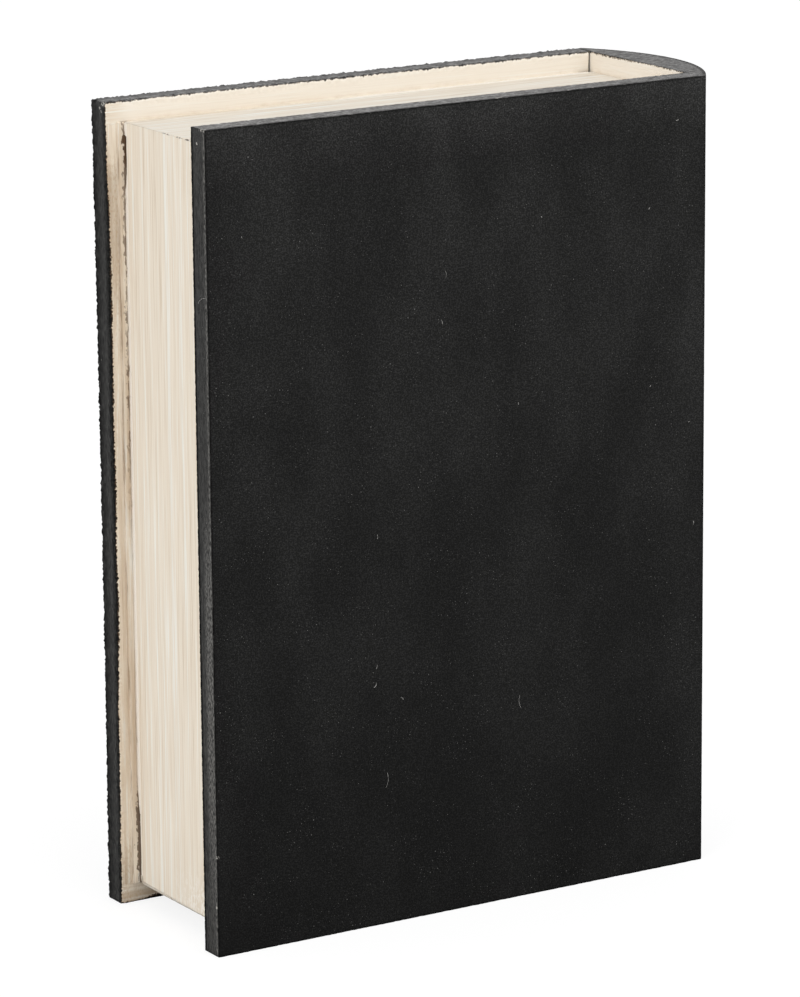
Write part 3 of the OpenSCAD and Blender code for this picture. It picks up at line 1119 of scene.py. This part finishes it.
lid_high = Vector((LID_HIGH.x - LID_SETBACK, LID_HIGH.y, LID_HIGH.z))
lid_mesh = edged_slab(LID_LOW, lid_high, LID_ROUND, BAND, LID_STEP, open_end=lid_high.x)
roughen(lid_mesh, LID_ROUGH, LID_NUB, lid_weight)
stand_flat(lid_mesh, LID_LOW.z)
bow(lid_mesh, LID_BOW)
lid = finish_piece("lid_cover", lid_mesh, LID_CLOTH, "lid", press=lid_press)
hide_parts("lid_cloth", "lid_board")

# %% [markdown]
# ## The panel inside the lid
# A thin panel is glued inside the lid and painted with it. Its edge makes the raised line beside the page
# block. The paint has softened its arris and run along it, so it gets the same treatment as the lid with
# a finer noise.

# %% Shape the panel
PANEL_ROUND = 0.35 * MM
PANEL_BAND = 2.0 * MM
PANEL_STEP = 1.0 * MM
PANEL_ROUGH = 0.14 * MM
PANEL_NUB = 2.4 * MM


def panel_weight(point):
    """Paint lies thickest along the panel's free edges."""
    from_end = min(point.z - PANEL_LOW.z, PANEL_HIGH.z - point.z, point.x - PANEL_LOW.x)
    return clamp((2.0 * MM - from_end) / (1.5 * MM))


panel_mesh = edged_slab(PANEL_LOW, PANEL_HIGH, PANEL_ROUND, PANEL_BAND, PANEL_STEP)
roughen(panel_mesh, PANEL_ROUGH, PANEL_NUB, panel_weight)
panel = finish_piece("panel_painted", panel_mesh, PAINT_PANEL, "lid")
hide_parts("lid_panel")

# %% [markdown]
# ## The page block
# The head, tail and fore-edge walls stand for the pages. Each is a board with mitred ends. A box is cut
# at its two mitres, its outer face is divided into many narrow strips that run like pages, and each strip
# is set back by its own small depth. Along the arris of head and fore edge the mitre has opened near the
# near cover, and it is filled with paint towards the lid. The lower rear corner is worn round.

# %% Shape the painted walls
PAGE_STEP = 0.36 * MM
PAGE_DEPTH = 0.16 * MM
CRACK_DEPTH = 0.38 * MM
CRACK_REACH = 0.5 * MM
WORN_RADIUS = 3.2 * MM
WALL_CUTS = 90
REAR_STRIP = 0.5 * MM
REAR_SETBACK = 0.22 * MM
REAR_WANDER = 0.15 * MM


def page_depth(across, along, seed):
    """How far a page line is set back, from its place across the block."""
    fine = noise.noise(Vector((across / (0.5 * MM), along / (70 * MM), seed)))
    broad = noise.noise(Vector((across / (2.8 * MM), along / (120 * MM), seed + 4.0)))
    return PAGE_DEPTH * (0.6 + 0.45 * fine + 0.45 * broad)


def crack_share(across):
    """How open the mitre is: open near the near cover, filled with paint towards the lid."""
    from_cover = (across - FORE_LOW.y) / (FORE_HIGH.y - FORE_LOW.y)
    gap = 0.75 - 1.35 * from_cover + 0.9 * noise.noise(Vector((across / (3.0 * MM), 2.0, 8.0)))
    return clamp(1.6 * gap)


def worn_rise(point):
    """How high the worn lower rear corner lifts the tail's underside."""
    start = FORE_HIGH.y - WORN_RADIUS
    past = max(0.0, min(WORN_RADIUS, point.y - start))
    rise = WORN_RADIUS - math.sqrt(WORN_RADIUS ** 2 - past ** 2)
    fade = clamp((24 * MM - (point.x - FORE_LOW.x)) / (16 * MM))
    return rise * fade


def outer_edges(bm, axis, plane, run):
    """Edges in the plane of the outer face that run along an axis."""
    chosen = []
    for edge in bm.edges:
        first, second = edge.verts[0].co, edge.verts[1].co
        flat = abs(first[axis] - plane) < 1e-6 and abs(second[axis] - plane) < 1e-6
        if flat and abs((second - first)[run]) > 0.99 * (second - first).length:
            chosen.append(edge)
    return chosen


def painted_wall(name, node, axis, outward, material):
    """A mitred wall whose outer face has page lines. Axis is the one that its outer face looks along."""
    low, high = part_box(node)
    bm = new_block(low, high)
    plane = high[axis] if outward > 0 else low[axis]
    run = 0 if axis == 2 else 2
    for end, side in ((low[run], -1.0), (high[run], 1.0)):
        place = Vector((0.0, low.y, 0.0))
        place[axis], place[run] = plane, end
        direction = Vector((0.0, 0.0, 0.0))
        direction[axis], direction[run] = -outward, side
        made = trim(bm, place, direction)
        cut = [item for item in made["geom_cut"] if isinstance(item, bmesh.types.BMEdge)]
        bmesh.ops.holes_fill(bm, edges=cut, sides=0)
    lines = round((high.y - low.y) / PAGE_STEP)
    bmesh.ops.subdivide_edges(bm, edges=outer_edges(bm, axis, plane, 1), cuts=lines, use_grid_fill=True)
    bmesh.ops.subdivide_edges(bm, edges=outer_edges(bm, axis, plane, run), cuts=WALL_CUTS, use_grid_fill=True)
    bmesh.ops.recalc_face_normals(bm, faces=bm.faces)
    row = (high[run] - low[run]) / (WALL_CUTS + 1)
    for vert in bm.verts:
        if abs(vert.co[axis] - plane) > 1e-6:
            continue
        along = vert.co[run]
        depth = page_depth(vert.co.y, along, 3.0 * axis)
        for end, inward in ((low[run], 1.0), (high[run], -1.0)):
            if abs(abs(along - end) - row) < 0.1 * row:
                vert.co[run] = end + inward * CRACK_REACH
        at_head = (vert.co - Vector((FORE_LOW.x, vert.co.y, HEAD_HIGH.z))).length < 0.1 * MM
        if at_head:
            depth += CRACK_DEPTH * crack_share(vert.co.y)
        if high.y - vert.co.y < REAR_STRIP:
            depth += REAR_SETBACK + REAR_WANDER * noise.noise(vert.co / (4.0 * MM))
        vert.co[axis] -= outward * depth
    for vert in bm.verts:
        vert.co.z = max(vert.co.z, TAIL_LOW.z + worn_rise(vert.co))
    wall = finish_piece(name, bm, material, "box")
    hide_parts(node)


painted_wall("page_fore_edge", "fore_edge_wall", 0, -1.0, PAINT_UPRIGHT)
painted_wall("page_head", "head_wall", 2, 1.0, PAINT_LEVEL)
painted_wall("page_tail", "tail_wall", 2, -1.0, PAINT_LEVEL)

# %% [markdown]
# ## Paint in the seam
# Between the page block and the panel runs an open seam. Along the fore edge it is open at its ends, and
# a thick bead of cream paint hangs on the page block's rear arris between them. Along the head and at the
# upper corner, paint nearly fills it. Each bead is a thin block, cut along its length, whose points are
# moved by noise. All three belong to the box, so the seam still opens.

# %% Shape the beads of paint
BEAD_STEP = 0.6 * MM
BEAD_ACROSS = 3 * MM
BEAD_DRAW = 0.25 * MM
REAR_Y = FORE_HIGH.y - 0.1 * MM


def paint_bead(name, low, high, run, outer, material, taper=10.0):
    """A ragged bead of paint with tapered ends. Outer is the axis and the plane of its open side."""
    bm = new_block(low, high)
    cut_along(bm, run, BEAD_ACROSS, BEAD_STEP)
    middle = (low[run] + high[run]) / 2
    half = (high[run] - low[run]) / 2
    side, plane = outer
    draw = BEAD_DRAW if plane < (low[side] + high[side]) / 2 else -BEAD_DRAW
    for vert in bm.verts:
        along = vert.co[run]
        from_end = 1.0 - abs(along - middle) / half
        ragged = 0.55 + 0.9 * noise.noise(Vector((3.0, 1.0, along / (5.0 * MM))))
        ragged += 0.5 * noise.noise(Vector((7.0, 2.0, along / (1.1 * MM))))
        reach = clamp(min(1.0, from_end * taper) * (0.60 + ragged))
        if vert.co.y > REAR_Y:
            vert.co.y = REAR_Y + (vert.co.y - REAR_Y) * reach
        if abs(vert.co[side] - plane) < 0.1 * MM:
            vert.co[side] += draw * (1.0 - reach)
    bmesh.ops.recalc_face_normals(bm, faces=bm.faces)
    finish_piece(name, bm, material, "box")


paint_bead(
    "seam_paint_fore_edge",
    Vector((FORE_LOW.x - 0.15 * MM, FORE_HIGH.y - 0.35 * MM, FORE_LOW.z + 27 * MM)),
    Vector((FORE_LOW.x + 0.9 * MM, PANEL_LOW.y - 0.20 * MM, FORE_LOW.z + 266 * MM)),
    2, (0, FORE_LOW.x - 0.15 * MM), PAINT_BEAD,
)
paint_bead(
    "seam_paint_head",
    Vector((FORE_LOW.x + 0.4 * MM, FORE_HIGH.y - 0.60 * MM, HEAD_HIGH.z - 1.0 * MM)),
    Vector((HEAD_HIGH.x - 0.4 * MM, PANEL_LOW.y - 0.12 * MM, HEAD_HIGH.z + 0.05 * MM)),
    0, (2, HEAD_HIGH.z + 0.05 * MM), PAINT_RUN, taper=40.0,
)
paint_bead(
    "seam_paint_corner",
    Vector((FORE_LOW.x - 0.12 * MM, FORE_HIGH.y - 0.35 * MM, HEAD_HIGH.z - 5.2 * MM)),
    Vector((FORE_LOW.x + 1.3 * MM, PANEL_LOW.y - 0.15 * MM, HEAD_HIGH.z + 0.02 * MM)),
    2, (0, FORE_LOW.x - 0.12 * MM), PAINT_BEAD, taper=6.0,
)

# %% [markdown]
# ## Lint on the near cover
# Short pale hairs cling to black cloth. Each is a tiny ring of points spun through part of a turn, which
# gives a curved hair with a round section. Their places are measured in mm from the near cover's lower
# left corner.

# %% Shape the lint
HAIR_DARK = (0.10, 0.10, 0.095)
HAIR_PALE = (0.42, 0.41, 0.39)
HAIR_RELIEF = 0.02 * MM
# Across and up in mm, radius in mm, sweep and turn in degrees, thickness in mm
FACE_HAIRS = (
    (66.9, 91.0, 1.1, 110, 85, 0.11), (206.6, 132.2, 1.0, 90, 45, 0.10), (78.2, 84.4, 1.0, 80, 350, 0.12),
    (96.2, 221.5, 1.6, 70, 15, 0.07), (68.3, 146.1, 1.3, 75, 37, 0.07), (138.9, 255.1, 0.6, 60, 10, 0.11),
    (98.0, 238.6, 3.1, 55, 22, 0.05), (204.4, 171.1, 0.7, 70, 100, 0.09), (128.8, 187.4, 0.6, 80, 30, 0.09),
    (186.8, 186.7, 0.7, 70, 80, 0.07), (14.1, 260.9, 0.8, 70, 190, 0.07), (186.1, 253.3, 0.6, 85, 265, 0.08),
    (198.4, 284.7, 0.9, 80, 115, 0.11), (71.6, 54.5, 5.8, 57, 35, 0.05), (129.0, 75.1, 5.3, 58, 204, 0.05),
    (67.5, 97.8, 1.5, 70, 50, 0.07),
)


def lint_hairs():
    """Curved hairs on the near cover's face, and one on its fore edge."""
    bm = bmesh.new()
    resting = [(on_cover(hair[0], -0.03, hair[1]), *hair[2:], "Y") for hair in FACE_HAIRS]
    resting.append((on_cover(-0.03, 4.0, 239.8), 6.5, 60, 127, 0.06, "X"))
    for middle, radius, sweep, turn, thick, axis in resting:
        ring = bmesh.ops.create_circle(bm, radius=thick * MM, segments=5)["verts"]
        bmesh.ops.rotate(bm, verts=ring, cent=(0, 0, 0), matrix=Matrix.Rotation(math.pi / 2, 3, "X"))
        bmesh.ops.translate(bm, verts=ring, vec=(radius * MM, 0, 0))
        edges = list({edge for vert in ring for edge in vert.link_edges})
        before = set(bm.verts) - set(ring)
        bmesh.ops.spin(
            bm, geom=ring + edges, cent=(0, 0, 0), axis=(0, 0, 1), angle=math.radians(sweep), steps=8,
        )
        hair = [vert for vert in bm.verts if vert not in before]
        lay = Matrix.Rotation(math.pi / 2, 3, "X" if axis == "Y" else "Y")
        turned = Matrix.Rotation(math.radians(turn), 3, axis) @ lay
        bmesh.ops.rotate(bm, verts=hair, cent=(0, 0, 0), matrix=turned)
        centre = sum((vert.co for vert in hair), Vector()) / len(hair)
        bmesh.ops.translate(bm, verts=hair, vec=middle - centre)
    bmesh.ops.holes_fill(bm, edges=[edge for edge in bm.edges if edge.is_boundary], sides=0)
    bmesh.ops.recalc_face_normals(bm, faces=bm.faces)
    finish_piece("lint_hairs", bm, lint_material(), "box")


def lint_material():
    """Grey hairs, paler along parts of their length."""
    material, tree, place = new_material("lint_grey")
    run = grain(tree, place, 0.9, 2.0)
    colour = tint(tree, window(tree, run, 0.3, 0.6), HAIR_DARK, HAIR_PALE)
    roughness = window(tree, run, 0.2, 0.8, 0.5, 0.7)
    surface(tree, colour, roughness, run, HAIR_RELIEF, Specular_IOR_Level=0.3)
    return material


lint_hairs()

# %% [markdown]
# ## The cloth hinge
# The only hinge is the covering cloth, which runs from the lid's outer face down to the spine's rear
# edge. It is a strip of its own, not attached to the lid or the box. A short path is extruded to the full
# height and given the cloth's thickness.

# %% Shape the hinge
HINGE_CLOTH = 0.35 * MM
HINGE_SETBACK = 0.4 * MM
HINGE_STEP = 1.2 * MM
HINGE_ROUGH = 0.05 * MM
HINGE_NUB = 2.0 * MM


def hinge_cloth():
    """The strip of cloth over the joint of lid and spine."""
    lid_face = LID_HIGH.y + 0.04 * MM
    spine_face = SPINE_HIGH.y + 0.20 * MM
    path = (
        (LID_HIGH.x - 5.0 * MM, LID_HIGH.y - 0.25 * MM), (LID_HIGH.x - 4.2 * MM, lid_face),
        (LID_HIGH.x - 1.6 * MM, lid_face), (LID_HIGH.x - 0.6 * MM, lid_face - 0.15 * MM),
        (LID_HIGH.x + 0.25 * MM, lid_face - 0.7 * MM), (SPINE_LOW.x + 0.9 * MM, spine_face + 0.05 * MM),
        (SPINE_LOW.x + 2.0 * MM, spine_face - 0.10 * MM), (SPINE_LOW.x + 3.2 * MM, spine_face - 0.95 * MM),
        (SPINE_LOW.x + 3.9 * MM, spine_face - 1.75 * MM),
    )
    bm = bmesh.new()
    points = [bm.verts.new((x, y, LID_LOW.z + HINGE_SETBACK)) for x, y in path]
    for first, second in zip(points, points[1:]):
        bm.edges.new((first, second))
    raised = bmesh.ops.extrude_edge_only(bm, edges=bm.edges[:])["geom"]
    rise = LID_HIGH.z - LID_LOW.z - 2 * HINGE_SETBACK
    bmesh.ops.translate(bm, verts=points_in(raised), vec=(0, 0, rise))
    cut_along(bm, 2, LONG_RUN, HINGE_STEP)
    bmesh.ops.recalc_face_normals(bm, faces=bm.faces)
    if sum(face.normal.y for face in bm.faces) < 0:
        bmesh.ops.reverse_faces(bm, faces=bm.faces[:])
    bmesh.ops.solidify(bm, geom=bm.faces[:], thickness=HINGE_CLOTH)
    bmesh.ops.recalc_face_normals(bm, faces=bm.faces)
    roughen(bm, HINGE_ROUGH, HINGE_NUB, lambda point: 1.0)
    strip = finish_piece("hinge_cloth", bm, HINGE_BLACK, None)
    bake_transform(strip)


def plain_cloth(name):
    """The black cloth on its own, with no paint."""
    material, tree, place = new_material(name)
    colour, roughness, height = cloth_parts(tree, place)
    surface(tree, colour, roughness, height, CLOTH_RELIEF, **CLOTH_GLOSS)
    return material


HINGE_BLACK = plain_cloth("black_cloth_hinge")
hinge_cloth()

# %% [markdown]
# ## Boards, felt and lining paper
# These CAD nodes already have the right shape, so they stay and only get materials. The boards are
# pressed wood fibre with darker flecks. The felt is a mat of grey fibres. The lining paper is pale and
# slightly mottled.

# %% Materials for the carried-over nodes
FIBRE_DARK = (0.40, 0.28, 0.17)
FIBRE_PALE = (0.66, 0.52, 0.36)
FIBRE_FLECK = (0.22, 0.14, 0.08)
FIBRE_RELIEF = 0.12 * MM
FELT_DARK = (0.040, 0.038, 0.036)
FELT_PALE = (0.135, 0.128, 0.120)
FELT_CLOUD = (0.105, 0.098, 0.090)
FELT_RELIEF = 0.35 * MM
PAPER_DARK = (0.68, 0.59, 0.44)
PAPER_PALE = (0.76, 0.68, 0.53)
PAPER_FOXED = (0.52, 0.39, 0.24)
PAPER_RELIEF = 0.05 * MM


def fibreboard():
    """Raw pressed fibre with flecks."""
    material, tree, place = new_material("fibreboard")
    fibre = grain(tree, place, (0.5, 0.3, 2.2), 3.0)
    fleck = window(tree, grain(tree, place, 0.9, 1.0, shift=5.0), 0.66, 0.74)
    colour = tint(tree, window(tree, fibre, 0.3, 0.7), FIBRE_DARK, FIBRE_PALE)
    colour = tint(tree, fleck, colour, FIBRE_FLECK)
    roughness = window(tree, fibre, 0.2, 0.8, 0.80, 0.95)
    surface(tree, colour, roughness, fibre, FIBRE_RELIEF, Specular_IOR_Level=0.2)
    return material


def grey_felt():
    """A mat of short fibres."""
    material, tree, place = new_material("grey_felt")
    fibre = grain(tree, place, (0.25, 1.0, 1.6), 4.0)
    across = grain(tree, place, (1.6, 1.0, 0.25), 4.0, shift=9.0)
    mat = most(tree, fibre, across)
    cloud = window(tree, grain(tree, place, 30, 3.0, shift=2.0), 0.35, 0.7)
    colour = tint(tree, window(tree, mat, 0.42, 0.75), FELT_DARK, FELT_PALE)
    colour = tint(tree, times(tree, cloud, 0.35), colour, FELT_CLOUD)
    roughness = window(tree, mat, 0.3, 0.8, 0.88, 1.0)
    surface(tree, colour, roughness, mat, FELT_RELIEF, Specular_IOR_Level=0.1, Sheen_Weight=0.25)
    return material


def lining_paper():
    """Pale paper with a faint fibre and a little foxing."""
    material, tree, place = new_material("lining_paper_pale")
    fibre = grain(tree, place, (0.8, 0.8, 0.8), 5.0)
    fox = window(tree, grain(tree, place, 7, 2.0, shift=6.0), 0.66, 0.80, 0.0, 0.5)
    colour = tint(tree, window(tree, fibre, 0.3, 0.7), PAPER_DARK, PAPER_PALE)
    colour = tint(tree, fox, colour, PAPER_FOXED)
    roughness = window(tree, fibre, 0.3, 0.7, 0.72, 0.82)
    surface(tree, colour, roughness, fibre, PAPER_RELIEF, Specular_IOR_Level=0.3)
    return material


def dress(names, material):
    """Gives CAD nodes a material."""
    for name in names:
        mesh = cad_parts[name].data
        mesh.materials.clear()
        mesh.materials.append(material)
        print(name, "wears", material.name)


dress(("base_board", "spine_block"), fibreboard())
dress(("spine_wall",), PAINT_UPRIGHT)
dress(("floor_felt",), grey_felt())
dress(("wall_paper",), lining_paper())

# %% [markdown]
# ## The view transform
# The render shows the colours through the Standard view transform.

# %% Set the view transform
bpy.context.scene.view_settings.view_transform = "Standard"
